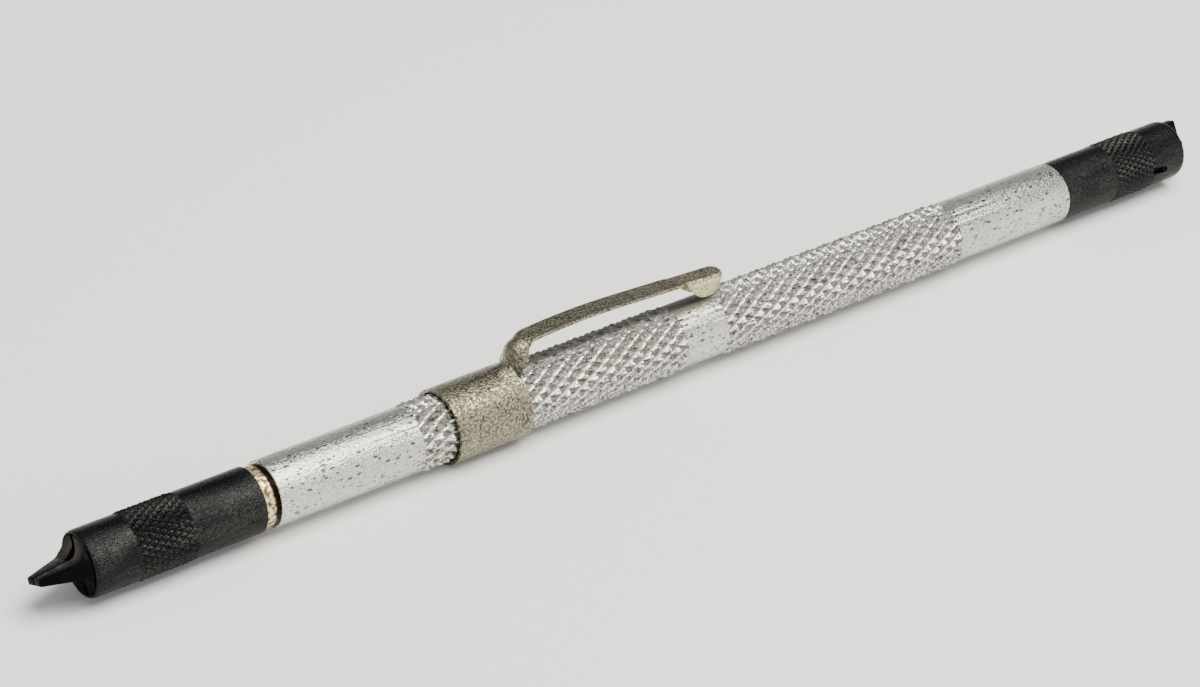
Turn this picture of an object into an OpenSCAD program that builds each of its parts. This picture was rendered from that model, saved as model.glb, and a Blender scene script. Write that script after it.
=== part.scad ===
// Double-ended screw starter: a knurled aluminium barrel with a spring pocket clip.
// A black sleeve slides on a neck at each end. Two pins in slanted slots turn its travel into a
// twist of the two half tips inside it: pushed out, it lines them up to enter a screw; drawn home,
// it twists them opposite ways, so that the split tip wedges in the screw.
// The long axis is X, with the slotted tip at -X, the cross tip at +X and the clip at +Z.

/* [Barrel] */
// Diameter of the plain bar
barrel_d = 7.94; // [7.6:0.02:8.2]
// Length of the plain turned stretch at each end
plain_len = 19.2; // [17:0.1:24]
// Length of each knurled grip
grip_len = 38.5; // [36:0.5:44]
// Length of the plain band between the grips
band_len = 6.2; // [5:0.1:8]
// Diameter over the knurled grips
grip_d = 8.4; // [8.3:0.02:8.7]
// Chamfer at the ends of the barrel and of each grip
barrel_edge = 0.2; // [0.05:0.05:0.4]
// Depth of the socket in each end of the barrel
socket_depth = 13; // [11:0.5:16]

/* [Pocket clip] */
// Thickness of the clip's sheet steel
clip_stock = 0.4; // [0.3:0.05:0.5]
// Length of the collar that grips the barrel
collar_len = 10.2; // [9:0.1:12]
// Distance from the slotted end of the barrel to the collar
collar_start = 23.8; // [22:0.1:25]
// Width of the open seam under the collar
seam_w = 1.2; // [0.6:0.1:2]
// Width of the clip's neck where it leaves the collar
neck_root_w = 3.6; // [3:0.1:5]
// Width of the clip's arm
arm_w = 2.5; // [2.2:0.1:3]
// Width of the arm at its free end
arm_end_w = 2.3; // [2.1:0.1:3]
// Radius of the bend out of the collar, at the middle of the sheet
low_bend_r = 2.0; // [1.6:0.1:2.4]
// Radius of the bend into the arm, at the middle of the sheet
high_bend_r = 2.3; // [1.8:0.1:2.8]
// Angle that the neck climbs at
neck_angle = 70; // [60:1:80]
// Length of the straight of the neck
neck_straight = 0.8; // [0.4:0.1:1.4]
// Angle that the arm rises at where it leaves the neck
arm_rise = 5; // [3:0.1:6]
// Angle that the arm falls at towards the barrel at its free end
arm_fall = 3.2; // [2.4:0.1:4]
// Length of the arch between the two
arm_arch_len = 13; // [10:0.5:16]
// Length of the straight of the arm behind the arch
arm_len = 15.8; // [13:0.1:17]
// Radius of the folded wings at the arm's free end
wing_r = 2.85; // [2.4:0.05:3]
// Distance from the middle of the wings back to the arm's free end
wing_back = 2.2; // [1.8:0.1:2.8]
// Angle that each wing leans inwards from upright
wing_lean = 14; // [4:1:24]

/* [Sleeves] */
// Outer diameter of the sleeves
sleeve_d = 7.8; // [7.7:0.02:7.94]
// Length of a sleeve
sleeve_len = 21.5; // [20.5:0.1:24]
// Wall of a sleeve
sleeve_wall = 0.4; // [0.36:0.01:0.5]
// How far the fine knurl stands out of a sleeve
sleeve_knurl_h = 0.13; // [0.08:0.01:0.2]
// Length of the fine knurl of a sleeve
sleeve_grip_len = 7.1; // [5:0.1:8]
// Length of the plain nose of a sleeve
sleeve_nose_len = 5.5; // [5.2:0.1:6.5]
// How far a sleeve slides
travel = 1.75; // [1.2:0.05:2]

/* [Neck bushes] */
// How far the neck that shows stands inside the outside of a sleeve
neck_step = 0.25; // [0.2:0.01:0.35]
// Diameter of the shank in the barrel
shank_d = 5; // [4:0.1:5.6]
// Length of the shank
shank_len = 12; // [8:0.5:12.5]
// Distance from the barrel to the front of the guide that the sleeve runs on
guide_len = 9; // [8:0.1:10]
// Width of the groove that holds the detent ring
detent_w = 0.7; // [0.5:0.05:0.9]
// Depth of the groove that holds the detent ring
detent_depth = 0.4; // [0.3:0.05:0.5]

/* [Tips] */
// Diameter of the pivot rod
rod_d = 1.5; // [1.2:0.05:1.7]
// Diameter of the pivot rod's head
rod_head_d = 2.4; // [2.1:0.05:2.6]
// Diameter of the cam pins
cam_pin_d = 0.7; // [0.6:0.05:0.8]
// Angle that each half tip twists through over the sleeve's travel
twist = 4.5; // [3:0.1:5]
// Thickness of the thrust washer
washer_t = 0.4; // [0.3:0.05:0.6]
// Gap between the two halves of a tip body
split_w = 0.58; // [0.54:0.02:0.7]
// Width of the sawn slit between the half blades
slit_w = 0.36; // [0.3:0.02:0.5]
// Width of the slotted blade at its tip
blade_tip_w = 2.8; // [2.4:0.1:3.4]
// Width of the slotted blade where it meets its body
blade_root_w = 6.8; // [6:0.1:6.9]
// How far the slotted blade stands out of its body
blade_len = 5.5; // [4.5:0.1:6.5]
// Thickness of the slotted blade at its tip
blade_tip_t = 0.84; // [0.7:0.02:1]
// Thickness of the slotted blade where its root fillets end
blade_root_t = 1.8; // [1.5:0.05:2.1]
// Radius of the slotted blade's root fillets
blade_fillet = 1.8; // [1.4:0.1:2.2]
// Diameter of the relief hole at the root of the slit
relief_d = 1.4; // [1:0.1:1.6]
// How far the cross tip stands out of its body
cross_len = 2.5; // [2:0.1:2.8]
// Span of the cross tip's main wings, as a share of its body
cross_span_share = 0.985; // [0.85:0.005:0.99]
// Length of the straight edges of the cross tip's wings
cross_land = 2.1; // [1:0.1:2.2]
// Span of the cross tip's short wings
cross_short_span = 3; // [2.6:0.1:3.4]
// Thickness of the cross tip's wings
cross_wing_t = 1.1; // [0.9:0.05:1.3]

/* [Roll] */
// Turn of the slotted blade's width from the clip, towards the near side
slotted_roll = 65; // [0:1:90]
// Turn of the cross tip's main wings from the clip, towards the near side
cross_roll = -17; // [-45:1:45]

/* [Hidden] */
$fn = 96;
// Running clearance on the radius of a moving fit
run_gap = 0.05;
// Clearance on the radius of a fixed fit
seat_gap = 0.01;
// Clearance left at the end of a stroke or beside a thrust face
end_gap = 0.05;
// Overrun of the cutting shapes
over = 1;

barrel_len = 2 * plain_len + 2 * grip_len + band_len;
collar_r = grip_d / 2 + seat_gap + clip_stock;
axis_z = sqrt(pow(collar_r, 2) - pow(seam_w / 2, 2));

// Where each sleeve stands at rest: the slotted one is pushed out, the cross one is home
home = end_gap;
slotted_at = home + travel;
cross_at = home;
slotted_face = slotted_at + sleeve_len;
cross_face = cross_at + sleeve_len;
overall_len = slotted_face + blade_len + barrel_len + cross_face + cross_len;
barrel_x = slotted_face + blade_len - overall_len / 2;

// Where the straight of the clip's neck ends, counted from the start of the strip
neck_top_x = low_bend_r * (1 + sin(neck_angle)) + neck_straight * cos(neck_angle);
neck_top_z = low_bend_r * (1 - cos(neck_angle)) + neck_straight * sin(neck_angle);
bend_steps = 12;
arch_r = arm_arch_len / ((arm_rise + arm_fall) * PI / 180);

// The neck is as long as the travel, with this much more to stay covered
neck_cover = 0.15;
neck_len = home + travel + neck_cover;
neck_edge = 0.12;
neck_d = sleeve_d - 2 * neck_step;
sleeve_bore = sleeve_d - 2 * sleeve_wall;
sleeve_grip_d = sleeve_d + 2 * sleeve_knurl_h;
guide_r = sleeve_bore / 2 - run_gap;
skirt_r = neck_d / 2 + run_gap;
skirt_depth = neck_len + end_gap;
sleeve_edge = 0.2;
sleeve_nose_drop = 0.25;
sleeve_nose_round = 0.8;
round_steps = 6;
sleeve_grip_at = sleeve_len - sleeve_nose_len - sleeve_grip_len;
detent_at = 5.5;
detent_air = 0.02;
detent_gap_angle = 40;

body_r = guide_r;
body_start = guide_len + washer_t + 2 * end_gap;
rod_shank_len = 7;
rod_head_len = 0.6;
rod_r = rod_d / 2;
washer_r = body_r - run_gap;

// The cam pins stand this far behind the front of a sleeve at home
cam_setback = 3.8;
cam_at = home + sleeve_len - cam_setback;
rod_head_at = cam_at + 1.4 * cam_pin_d;
cam_angle = -75;
cam_inner_r = body_r - 0.25 * body_r;
cam_outer_r = sleeve_d / 2 - 0.04 * sleeve_d / 2;
cam_slot_r = cam_pin_d / 2 + run_gap + cam_pin_d * 0.06;
cam_mid_r = (sleeve_bore + sleeve_d) / 4;
cam_side = cam_mid_r * twist * PI / 180;

blade_edge = 0.12;
cross_span = 2 * body_r * cross_span_share;
cross_collar_share = 0.86;
cross_collar_len = 0.5;
cross_collar_flare = 0.45;
cross_nose_share = 0.25;

// Lays a shape drawn along +Z on the tool's axis, standing on the slotted end of the barrel
module at_slotted_end() {
    translate([barrel_x, 0, axis_z]) rotate([0, -90, 0]) rotate(-slotted_roll) children();
}

// The same at the cross end
module at_cross_end() {
    translate([barrel_x + barrel_len, 0, axis_z]) rotate([0, 90, 0]) rotate(cross_roll) children();
}

// A round bar from z0 to z1 with a chamfer at each end
module bar(r, z0, z1, edge) {
    rotate_extrude()
        polygon([[0, z0], [r - edge, z0], [r, z0 + edge], [r, z1 - edge], [r - edge, z1], [0, z1]]);
}

// A plain hole along the axis
module hole(r, z0, z1) {
    translate([0, 0, z0]) cylinder(r = r, h = z1 - z0);
}

module barrel() {
    grip_r = grip_d / 2;
    first = plain_len;
    second = plain_len + grip_len + band_len;
    color("silver") translate([barrel_x, 0, axis_z]) rotate([0, 90, 0]) difference() {
        union() {
            bar(barrel_d / 2, 0, barrel_len, barrel_edge);
            bar(grip_r, first, first + grip_len, barrel_edge);
            bar(grip_r, second, second + grip_len, barrel_edge);
        }
        hole(shank_d / 2 + seat_gap, -over, socket_depth);
        hole(shank_d / 2 + seat_gap, barrel_len - socket_depth, barrel_len + over);
    }
}

// The middle line of the clip's sheet in side view, as [x, z, heading]: level out of the collar,
// up round the low bend, along the neck, round the high bend, over the arch and down the arm
function clip_line() = concat(
    [[0, 0, 0]],
    [for (i = [0:bend_steps]) let (h = neck_angle * i / bend_steps)
        [low_bend_r * (1 + sin(h)), low_bend_r * (1 - cos(h)), h]],
    [for (i = [0:bend_steps]) let (h = neck_angle - (neck_angle - arm_rise) * i / bend_steps)
        [neck_top_x + high_bend_r * (sin(neck_angle) - sin(h)),
            neck_top_z + high_bend_r * (cos(h) - cos(neck_angle)), h]],
    [for (i = [1:bend_steps]) let (h = arm_rise - (arm_rise + arm_fall) * i / bend_steps)
        [arm_x() + arch_r * (sin(arm_rise) - sin(h)), arm_z() + arch_r * (cos(h) - cos(arm_rise)), h]],
    [[arm_end_x(), arm_end_z(), -arm_fall]]);

// Side view of the sheet: the middle line set out by half the stock on each side
module clip_profile() {
    line = clip_line();
    last = len(line) - 1;
    polygon(concat(
        [for (i = [0:last]) let (q = line[i])
            [q[0] - clip_stock / 2 * sin(q[2]), q[1] + clip_stock / 2 * cos(q[2])]],
        [for (i = [0:last]) let (q = line[last - i])
            [q[0] + clip_stock / 2 * sin(q[2]), q[1] - clip_stock / 2 * cos(q[2])]]));
}

// The strip, as wide as its root all along
module clip_strip() {
    translate([0, neck_root_w / 2, 0]) rotate([90, 0, 0]) linear_extrude(neck_root_w) clip_profile();
}

// Where the arm starts and ends, counted from the start of the strip
function arm_x() = neck_top_x + high_bend_r * (sin(neck_angle) - sin(arm_rise));
function arm_z() = neck_top_z + high_bend_r * (cos(arm_rise) - cos(neck_angle));
function arm_end_x() = arm_x() + arch_r * (sin(arm_rise) + sin(arm_fall)) + arm_len * cos(arm_fall);
function arm_end_z() = arm_z() + arch_r * (cos(arm_fall) - cos(arm_rise)) - arm_len * sin(arm_fall);

// Plan of the strip: the arm narrows to its end, which has round corners
module clip_plan() {
    start = arm_x();
    end = arm_end_x();
    corner = arm_end_w / 3;
    root = neck_root_w / 2;
    translate([0, 0, -neck_root_w]) linear_extrude(4 * neck_root_w) union() {
        polygon([[0, -root], [start, -root], [start, root], [0, root]]);
        polygon([[start, -arm_w / 2], [end - corner, -arm_end_w / 2],
            [end - corner, arm_end_w / 2], [start, arm_w / 2]]);
        translate([end - corner, -arm_end_w / 2 + corner]) square([corner, arm_end_w - 2 * corner]);
        for (side = [-1, 1])
            translate([end - corner, side * (arm_end_w / 2 - corner)]) circle(r = corner);
    }
}

// Front view of the neck: wide at the collar, as narrow as the arm at the top
module clip_front() {
    top = 2 * arm_z();
    waist = arm_z() * 0.55;
    rotate([90, 0, 90]) linear_extrude(2 * arm_end_x())
        polygon([[-neck_root_w / 2, -clip_stock], [neck_root_w / 2, -clip_stock],
            [neck_root_w / 2, 0], [arm_w / 2, waist], [arm_w / 2, top],
            [-arm_w / 2, top], [-arm_w / 2, waist], [-neck_root_w / 2, 0]]);
}

// A round wing folded down from the edge of the arm and leaning inwards, cut off at the arm's end
module wing(side) {
    mirror([0, side > 0 ? 0 : 1, 0])
        translate([0, arm_end_w / 2 - clip_stock / 10, clip_stock * 0.4]) rotate([-wing_lean, 0, 0])
        intersection() {
            rotate([90, 0, 0]) cylinder(r = wing_r, h = clip_stock);
            translate([-wing_r, -2 * clip_stock, -2 * wing_r])
                cube([wing_r + wing_back - clip_stock * 0.6, 3 * clip_stock, 2 * wing_r]);
        }
}

module pocket_clip() {
    bore_r = grip_d / 2 + seat_gap;
    strip_x = barrel_x + collar_start + collar_len - 2 * low_bend_r;
    strip_z = axis_z + collar_r - clip_stock / 2;
    color("darkkhaki") {
        difference() {
            translate([barrel_x + collar_start, 0, axis_z]) rotate([0, 90, 0])
                difference() {
                    cylinder(r = collar_r, h = collar_len);
                    hole(bore_r, -over, collar_len + over);
                }
            translate([barrel_x + collar_start - over, -seam_w / 2, -over])
                cube([collar_len + 2 * over, seam_w, axis_z]);
        }
        difference() {
            translate([strip_x, 0, strip_z]) intersection() {
                clip_strip();
                clip_plan();
                clip_front();
            }
            translate([strip_x - over, 0, axis_z]) rotate([0, 90, 0])
                cylinder(r = bore_r, h = arm_end_x());
        }
        translate([strip_x + arm_end_x(), 0, strip_z + arm_end_z()]) rotate([0, arm_fall, 0])
            translate([-wing_back, 0, 0])
            for (side = [-1, 1]) wing(side);
    }
}

// Outside and bore of a sleeve as one turned profile, drawn from its rear face
module sleeve_turning() {
    r = sleeve_d / 2;
    g = sleeve_grip_d / 2;
    bore = sleeve_bore / 2;
    lip = sleeve_edge / 2;
    g0 = sleeve_grip_at;
    g1 = sleeve_grip_at + sleeve_grip_len;
    step = g - r;
    rotate_extrude()
        polygon(concat([[skirt_r, 0], [r - lip / 2, 0], [r, lip / 2], [r, g0], [g, g0 + step],
            [g, g1 - step],
            [r, g1]],
            [for (i = [0:round_steps]) let (a = 90 * i / round_steps)
                [r - sleeve_nose_drop * (1 - cos(a)), sleeve_len - sleeve_nose_round * (1 - sin(a))]],
            [[bore + lip, sleeve_len], [bore, sleeve_len - lip], [bore, skirt_depth],
            [skirt_r, skirt_depth]]));
}

// The groove inside a sleeve that the detent ring drops into, at both ends of the travel
module detent_seat(z) {
    depth = detent_depth / 3;
    rotate_extrude()
        polygon([[sleeve_bore / 2 - depth, z - detent_w], [sleeve_bore / 2, z - detent_w],
            [sleeve_bore / 2 + depth, z - detent_w / 2], [sleeve_bore / 2 + depth, z + detent_w / 2],
            [sleeve_bore / 2, z + detent_w], [sleeve_bore / 2 - depth, z + detent_w]]);
}

// A slanted slot through the sleeve's wall for one cam pin, from its home end to its forward end.
// As the sleeve goes forward, the pin falls back by the travel and turns out of its twist in it.
module cam_slot(turn) {
    length = norm([cam_side, travel]);
    translate([0, 0, cam_at - home]) rotate([0, 90, 0]) rotate(turn * atan2(cam_side, travel)) {
        cylinder(r = cam_slot_r, h = sleeve_d);
        translate([length, 0, 0]) cylinder(r = cam_slot_r, h = sleeve_d);
        translate([0, -cam_slot_r, 0]) cube([length, 2 * cam_slot_r, sleeve_d]);
    }
}

module sleeve() {
    difference() {
        sleeve_turning();
        detent_seat(detent_at - home);
        detent_seat(detent_at - home - travel);
        rotate(cam_angle + twist) cam_slot(-1);
        rotate(cam_angle + 180 - twist) cam_slot(1);
    }
}

// The bush pressed into the barrel: shank, neck that shows, and guide that carries the sleeve
module neck_bush() {
    groove_r = guide_r - detent_depth;
    difference() {
        union() {
            bar(shank_d / 2, -shank_len, neck_edge, neck_edge);
            bar(neck_d / 2, 0, neck_len, neck_edge);
            bar(guide_r, neck_len - neck_edge * 2, guide_len, neck_edge);
        }
        hole(rod_r + seat_gap, -shank_len - over, guide_len + over);
        difference() {
            hole(neck_d, detent_at - detent_w / 2, detent_at + detent_w / 2);
            hole(groove_r, detent_at - detent_w, detent_at + detent_w);
        }
    }
}

// A split spring ring in the bush's groove, which clicks into the sleeve's inner grooves
module detent_ring() {
    inner = guide_r - detent_depth + seat_gap;
    outer = sleeve_bore / 2 - detent_air;
    h = detent_w - 2 * seat_gap;
    rotate(detent_gap_angle / 2)
        rotate_extrude(angle = 360 - detent_gap_angle)
        translate([inner, detent_at - h / 2]) square([outer - inner, h]);
}

// The headed rod that both halves of a tip rock on, as one turned profile
module pivot_rod() {
    top = rod_head_at + rod_head_len;
    edge = rod_head_len / 5;
    rotate_extrude()
        polygon([[0, -rod_shank_len], [rod_r, -rod_shank_len], [rod_r, rod_head_at],
            [rod_head_d / 2, rod_head_at], [rod_head_d / 2, top - edge], [rod_head_d / 2 - edge, top],
            [0, top]]);
}

module thrust_washer() {
    difference() {
        hole(washer_r, guide_len, guide_len + washer_t);
        hole(rod_r + run_gap, guide_len - over, guide_len + washer_t + over);
    }
}

// Everything on one side of the split plane, at least half_gap from it
module half_space(half_gap) {
    reach = 2 * sleeve_d;
    translate([half_gap, -reach, -over]) cube([reach, 2 * reach, sleeve_len + reach]);
}

// The half-round body of one half tip, closed round the pivot rod and its head
module half_body(face) {
    difference() {
        intersection() {
            bar(body_r, body_start, face, sleeve_edge / 2);
            half_space(split_w / 2);
        }
        hole(rod_r + run_gap, body_start - over, rod_head_at);
        hole(rod_head_d / 2 + run_gap, rod_head_at - end_gap, rod_head_at + rod_head_len + end_gap);
        cam_hole();
    }
}

// The seat of a cam pin, drilled in from the body's outside
module cam_hole() {
    rotate(cam_angle) translate([cam_inner_r - seat_gap, 0, cam_at]) rotate([0, 90, 0])
        cylinder(r = cam_pin_d / 2 + seat_gap, h = sleeve_d);
}

module cam_pin() {
    rotate(cam_angle) translate([cam_inner_r, 0, cam_at]) rotate([0, 90, 0])
        cylinder(r = cam_pin_d / 2, h = cam_outer_r - cam_inner_r);
}

// One half of the slotted blade: concave root fillets, then a taper to the tip both ways
module half_blade(face) {
    root = blade_root_t / 2;
    tip = blade_tip_t / 2;
    reach = root + blade_fillet;
    half_w = blade_root_w / 2;
    difference() {
        intersection() {
            union() {
                difference() {
                    translate([0, -reach, face - end_gap])
                        cube([half_w, 2 * reach, blade_fillet + end_gap]);
                    for (side = [-1, 1])
                        translate([-over, side * reach, face + blade_fillet]) rotate([0, 90, 0])
                            cylinder(r = blade_fillet, h = half_w + 2 * over);
                }
                translate([half_w, 0, face + blade_fillet]) rotate([90, 0, -90])
                    linear_extrude(half_w)
                    polygon([[-root, 0], [root, 0], [tip, blade_len - blade_fillet - blade_edge],
                        [tip - blade_edge, blade_len - blade_fillet],
                        [blade_edge - tip, blade_len - blade_fillet],
                        [-tip, blade_len - blade_fillet - blade_edge]]);
            }
            hole(body_r, face - over, face + blade_len + over);
            translate([0, reach + over, face]) rotate([90, 0, 0]) linear_extrude(2 * reach + 2 * over)
                polygon([[-over, -over], [half_w, -over], [half_w, 0], [blade_tip_w / 2, blade_len],
                    [-over, blade_len]]);
        }
        translate([slit_w / 2 - sleeve_d, -sleeve_d, face - over])
            cube([sleeve_d, 2 * sleeve_d, 2 * sleeve_d]);
        translate([0, sleeve_d, face + relief_d / 2]) rotate([90, 0, 0])
            cylinder(d = relief_d, h = 2 * sleeve_d);
    }
}

// One half of the cross tip: a main wing, half of the two short wings and a low cone
module half_cross(face) {
    half = cross_span / 2;
    short = cross_short_span / 2;
    base = face - end_gap;
    nose = cross_span * cross_nose_share / 2;
    difference() {
        union() {
            translate([0, 0, base])
                cylinder(r1 = short * cross_collar_share + cross_collar_flare,
                    r2 = short * cross_collar_share, h = cross_collar_len + end_gap);
            translate([0, cross_wing_t / 2, face]) rotate([90, 0, 0]) linear_extrude(cross_wing_t)
                polygon([[0, -end_gap], [half, -end_gap], [half, cross_land], [nose, cross_len],
                    [0, cross_len]]);
            rotate([90, 0, 90]) translate([0, face, 0]) linear_extrude(cross_wing_t / 2)
                polygon([[-short, -end_gap], [short, -end_gap], [short, cross_land],
                    [nose, cross_len], [-nose, cross_len], [-short, cross_land]]);
        }
        translate([slit_w / 2 - sleeve_d, -sleeve_d, face - over])
            cube([sleeve_d, 2 * sleeve_d, 2 * sleeve_d]);
    }
}

// One half of the slotted tip: its body and its half blade
module slotted_half() {
    half_body(slotted_face);
    half_blade(slotted_face);
}

module cross_half() {
    half_body(cross_face);
    half_cross(cross_face);
}

module slotted_sleeve() {
    color("dimgray") at_slotted_end() translate([0, 0, slotted_at]) sleeve();
}

module slotted_neck_bush() {
    color("goldenrod") at_slotted_end() neck_bush();
}

module slotted_detent_ring() {
    color("gray") at_slotted_end() detent_ring();
}

module slotted_pivot_rod() {
    color("lightgray") at_slotted_end() pivot_rod();
}

module slotted_thrust_washer() {
    color("tan") at_slotted_end() thrust_washer();
}

// The sleeve is forward at this end, so its halves stand in line
module slotted_blade_near() {
    color("slategray") at_slotted_end() slotted_half();
}

module slotted_blade_far() {
    color("slategray") at_slotted_end() rotate(180) slotted_half();
}

module slotted_cam_pin_near() {
    color("lightgray") at_slotted_end() cam_pin();
}

module slotted_cam_pin_far() {
    color("lightgray") at_slotted_end() rotate(180) cam_pin();
}

module cross_sleeve() {
    color("dimgray") at_cross_end() translate([0, 0, cross_at]) sleeve();
}

module cross_neck_bush() {
    color("goldenrod") at_cross_end() neck_bush();
}

module cross_detent_ring() {
    color("gray") at_cross_end() detent_ring();
}

module cross_pivot_rod() {
    color("lightgray") at_cross_end() pivot_rod();
}

module cross_thrust_washer() {
    color("tan") at_cross_end() thrust_washer();
}

// The sleeve is home at this end, so its halves stand twisted
module cross_tip_lower() {
    color("slategray") at_cross_end() rotate(twist) cross_half();
}

module cross_tip_upper() {
    color("slategray") at_cross_end() rotate(180 - twist) cross_half();
}

module cross_cam_pin_lower() {
    color("lightgray") at_cross_end() rotate(twist) cam_pin();
}

module cross_cam_pin_upper() {
    color("lightgray") at_cross_end() rotate(180 - twist) cam_pin();
}

barrel();
pocket_clip();
slotted_sleeve();
slotted_neck_bush();
slotted_detent_ring();
slotted_pivot_rod();
slotted_thrust_washer();
slotted_blade_near();
slotted_blade_far();
slotted_cam_pin_near();
slotted_cam_pin_far();
cross_sleeve();
cross_neck_bush();
cross_detent_ring();
cross_pivot_rod();
cross_thrust_washer();
cross_tip_lower();
cross_tip_upper();
cross_cam_pin_lower();
cross_cam_pin_upper();
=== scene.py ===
import bmesh
import bpy
import numpy as np
from mathutils import Matrix, Vector


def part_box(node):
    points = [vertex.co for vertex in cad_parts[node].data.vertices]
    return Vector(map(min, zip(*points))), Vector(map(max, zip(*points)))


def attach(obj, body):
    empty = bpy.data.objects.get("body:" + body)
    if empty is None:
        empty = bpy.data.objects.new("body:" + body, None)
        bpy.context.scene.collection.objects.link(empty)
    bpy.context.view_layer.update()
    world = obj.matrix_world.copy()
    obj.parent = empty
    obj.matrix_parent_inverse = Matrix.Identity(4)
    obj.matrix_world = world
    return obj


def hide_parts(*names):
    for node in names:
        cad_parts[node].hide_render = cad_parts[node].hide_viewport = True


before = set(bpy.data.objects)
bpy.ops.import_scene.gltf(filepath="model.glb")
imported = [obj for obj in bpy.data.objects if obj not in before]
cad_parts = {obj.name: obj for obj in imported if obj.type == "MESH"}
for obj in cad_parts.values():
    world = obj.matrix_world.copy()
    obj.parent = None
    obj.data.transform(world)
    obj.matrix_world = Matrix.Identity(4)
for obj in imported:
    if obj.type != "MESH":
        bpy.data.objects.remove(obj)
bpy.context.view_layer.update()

bl_info = {
    "name": "Screw starter",
    "version": (1, 0, 0),
    "blender": (4, 5, 0),
    "location": "3D View > Sidebar > Screw starter",
    "description": "Builds a double-ended screw starter round its packed solids",
    "category": "Object",
}

MM = 0.001


def linear(code):
    """An sRGB colour written as six hex digits, as linear red, green, blue and alpha."""
    part = np.array([int(code[i:i + 2], 16) for i in (0, 2, 4)]) / 255
    low = part <= 0.04045
    value = np.where(low, part / 12.92, ((part + 0.055) / 1.055) ** 2.4)
    return (*(float(v) for v in value), 1.0)


def length(name, text, default):
    """A size property, given in millimetres and kept in metres."""
    return bpy.props.FloatProperty(name=name, description=text, default=default * MM,
                                   unit="LENGTH", precision=5, min=0)


def angle(name, text, default):
    """An angle property, given in degrees and kept in radians."""
    return bpy.props.FloatProperty(name=name, description=text, default=float(np.radians(default)),
                                   unit="ROTATION")


def count(name, text, default):
    """A whole number property."""
    return bpy.props.IntProperty(name=name, description=text, default=default, min=1)


def colour(name, text, default):
    """A colour property whose default is an sRGB hex code."""
    return bpy.props.FloatVectorProperty(name=name, description=text, size=4, subtype="COLOR",
                                         min=0, max=1, default=linear(default))


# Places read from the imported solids, in metres
BARREL_LOW, BARREL_HIGH = (np.array(corner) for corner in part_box("barrel"))
AXIS_Z = float(BARREL_LOW[2] + BARREL_HIGH[2]) / 2
BARREL_START = float(BARREL_LOW[0])
BARREL_END = float(BARREL_HIGH[0])
COLLAR_START = float(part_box("pocket_clip")[0][0])

# The long axis, and the direction of the slotted blade's width, which leans by this angle from
# upright towards the near side
ALONG = (1, 0, 0)
BLADE_LEAN = np.radians(65)
BLADE_WIDTH = (0, -float(np.sin(BLADE_LEAN)), float(np.cos(BLADE_LEAN)))

# Points nearer than this are one point, and a turned surface's pole is a ring of this radius
SAME = 1e-6
# Edges of turned pieces that turn by more than this, in degrees, stay sharp
TURNED_SHARP = 24.0
# Specular tint of the black finishes, which stay dark at a glancing view too
DARK_FILM = linear("D2D2D2")


class ScrewStarterBarrel(bpy.types.PropertyGroup):
    """Sizes of the turned barrel and its coarse knurl"""
    plain_d: length("Bar diameter", "Diameter of the plain bar", 7.94)
    crest_d: length("Crest diameter", "Diameter over the crests of the coarse knurl", 8.4)
    groove_d: length("Groove diameter", "Diameter at the bottom of the coarse knurl", 7.36)
    plain_len: length("Plain length", "Plain turned stretch at each end", 19.2)
    grip_len: length("Grip length", "Length of each knurled grip", 38.5)
    band_len: length("Band length", "Plain band between the grips", 6.2)
    edge: length("Edge", "Chamfer at each end", 0.2)
    socket_d: length("Socket diameter", "Diameter of the socket in each end", 5.02)
    socket_depth: length("Socket depth", "Depth of the socket in each end", 13)
    teeth: count("Teeth", "Knurl grooves round the bar, each way", 18)
    pitches: count("Diamonds", "Diamonds along one grip", 14)


class ScrewStarterClip(bpy.types.PropertyGroup):
    """Sizes of the pocket clip's sheet, collar, neck, arm and wings"""
    stock: length("Sheet", "Thickness of the sheet steel", 0.4)
    collar_r: length("Collar radius", "Outer radius of the collar", 4.61)
    collar_len: length("Collar length", "Length of the collar", 10.2)
    seam_w: length("Seam", "Open seam under the collar", 1.2)
    root_w: length("Root width", "Width of the neck where it leaves the collar", 4.2)
    neck_w: length("Neck width", "Width over the neck's curled edges", 3.6)
    arm_w: length("Arm width", "Width of the arm at the neck", 2.5)
    arm_end_w: length("Arm end width", "Width of the arm at its free end", 2.3)
    low_bend_r: length("Low bend", "Radius of the bend out of the collar", 2.0)
    high_bend_r: length("High bend", "Radius of the bend into the arm", 2.3)
    neck_straight: length("Neck straight", "Straight between the two bends", 0.8)
    neck_back: length("Neck setback", "How far the curled neck stands back", 0.6)
    arch_len: length("Arch length", "Length of the arched part of the arm", 13)
    arm_len: length("Arm length", "Length of the straight of the arm", 15.8)
    corner_r: length("Corner", "Round of the arm's free end", 0.9)
    wing_len: length("Near wing", "Length of the near wing from the arm's end", 6.25)
    far_len: length("Far wing", "Length of the far wing from the arm's end", 7.8)
    wing_back: length("Wing middle", "Deepest place of a wing from the arm's end", 2.0)
    wing_r: length("Wing depth", "Depth of a wing along its sheet", 3.0)
    neck_angle: angle("Neck angle", "Angle that the neck climbs at", 70)
    neck_curl: angle("Neck curl", "Half angle of the curl of the neck's section", 80)
    arm_rise: angle("Arm rise", "Angle that the arm rises at out of the neck", 5)
    arm_fall: angle("Arm fall", "Angle that the arm falls at towards the barrel", 3.2)
    wing_lean: angle("Wing lean", "Angle that each wing leans inwards from upright", 14)


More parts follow.
